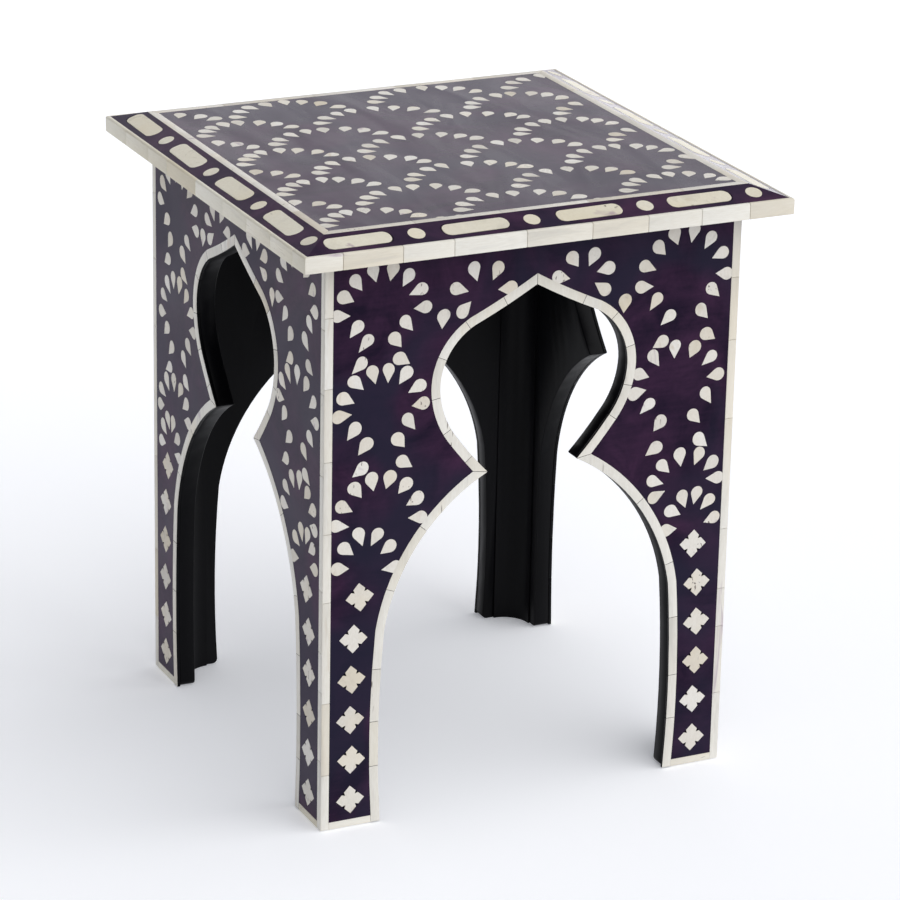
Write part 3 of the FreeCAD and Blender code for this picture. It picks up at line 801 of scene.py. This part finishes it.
def dress(materials):
    """Gives every node and piece its material."""
    for node, thing in frame["nodes"].items():
        thing.data.materials.clear()
        thing.data.materials.append(materials[material_name(node, SLOTS[node])])
    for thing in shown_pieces():
        if thing.name not in frame["nodes"]:
            thing.data.materials.clear()
            thing.data.materials.append(materials[material_name(thing.name, thing["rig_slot"])])
        if thing.name.startswith("soft_arch_trim"):
            paint_edges(thing, materials["black_paint"])


# Studio

CAMERA_AZIMUTH, CAMERA_ELEVATION, CAMERA_ROLL = -25.66, 20.45, 1.19
CAMERA_DISTANCE = 2.995
CAMERA_TARGET = Vector((-0.0018, -0.0302, 0.2253))
CAMERA_LENS, SENSOR = 160.65, 36
SKY = 0.30
KEY_PLACE, KEY_POWER, KEY_SPREAD = (0.30, -0.35, 0.48), 2.15, 90
BACK_PLACE, BACK_SIZE, BACK_POWER = (1.2, 2.6, 0.85), (4.5, 1.7), 28
PAPER, PAPER_GLOW = (0.935, 0.94, 0.96, 1), 0.23
PAPER_LEVEL = -0.3 * MM
PAPER_HALF = 12
COOL = (0.925, 0.945, 1.0, 1)


def make_camera():
    """The photograph's view: its direction, distance, lens and slight roll."""
    azimuth, elevation = math.radians(CAMERA_AZIMUTH), math.radians(CAMERA_ELEVATION)
    level = math.cos(elevation)
    back = Vector((math.sin(azimuth) * level, -math.cos(azimuth) * level, math.sin(elevation)))
    right = (-back).cross(Vector((0, 0, 1))).normalized()
    up = right.cross(-back)
    basis = Matrix((right, up, back)).transposed()
    camera = bpy.data.objects.new("camera", bpy.data.cameras.new("camera"))
    bpy.context.scene.collection.objects.link(camera)
    facing = (basis @ Matrix.Rotation(math.radians(CAMERA_ROLL), 3, "Z")).to_4x4()
    camera.matrix_world = Matrix.Translation(CAMERA_TARGET + back * CAMERA_DISTANCE) @ facing
    camera.data.lens = CAMERA_LENS
    camera.data.sensor_width = SENSOR
    camera.data.clip_start, camera.data.clip_end = 0.1, 100
    bpy.context.scene.camera = camera


def make_light(name, kind, place, target, power, **settings):
    """A light at its place that faces its target."""
    data = bpy.data.lights.new(name, kind)
    data.energy = power
    for setting, value in settings.items():
        setattr(data, setting, value)
    light = bpy.data.objects.new(name, data)
    bpy.context.scene.collection.objects.link(light)
    light.location = place
    light.rotation_mode = "QUATERNION"
    light.rotation_quaternion = (Vector(place) - Vector(target)).to_track_quat("Z", "Y")


def make_lights():
    """A broad, even light from the front and right, and a white wall behind that the top mirrors."""
    make_light("key", "SUN", KEY_PLACE, (0, 0, 0), KEY_POWER, angle=math.radians(KEY_SPREAD))
    wall = BACK_PLACE
    make_light(
        "back_wall", "AREA", wall, (0, 0, wall[2]), BACK_POWER,
        shape="RECTANGLE", size=BACK_SIZE[0], size_y=BACK_SIZE[1],
    )


def make_studio():
    """A pale floor just under the feet, and an even sky."""
    shape = bmesh.new()
    bmesh.ops.create_grid(shape, x_segments=1, y_segments=1, size=PAPER_HALF)
    mesh = bpy.data.meshes.new("floor")
    shape.to_mesh(mesh)
    shape.free()
    floor = bpy.data.objects.new("floor", mesh)
    bpy.context.scene.collection.objects.link(floor)
    floor.location.z = PAPER_LEVEL
    paper = bpy.data.materials.new("paper")
    paper.use_nodes = True
    shader = paper.node_tree.nodes["Principled BSDF"]
    shader.inputs["Base Color"].default_value = PAPER
    shader.inputs["Emission Color"].default_value = COOL
    shader.inputs["Emission Strength"].default_value = PAPER_GLOW
    shader.inputs["Roughness"].default_value = 0.9
    shader.inputs["Specular IOR Level"].default_value = 0.0
    mesh.materials.append(paper)
    bpy.context.scene.view_settings.view_transform = "Standard"
    world = bpy.data.worlds.new("studio")
    world.use_nodes = True
    sky = world.node_tree.nodes["Background"]
    sky.inputs["Color"].default_value = COOL
    sky.inputs["Strength"].default_value = SKY
    bpy.context.scene.world = world


make_pieces()
dress(make_materials())
make_studio()
make_lights()
make_camera()
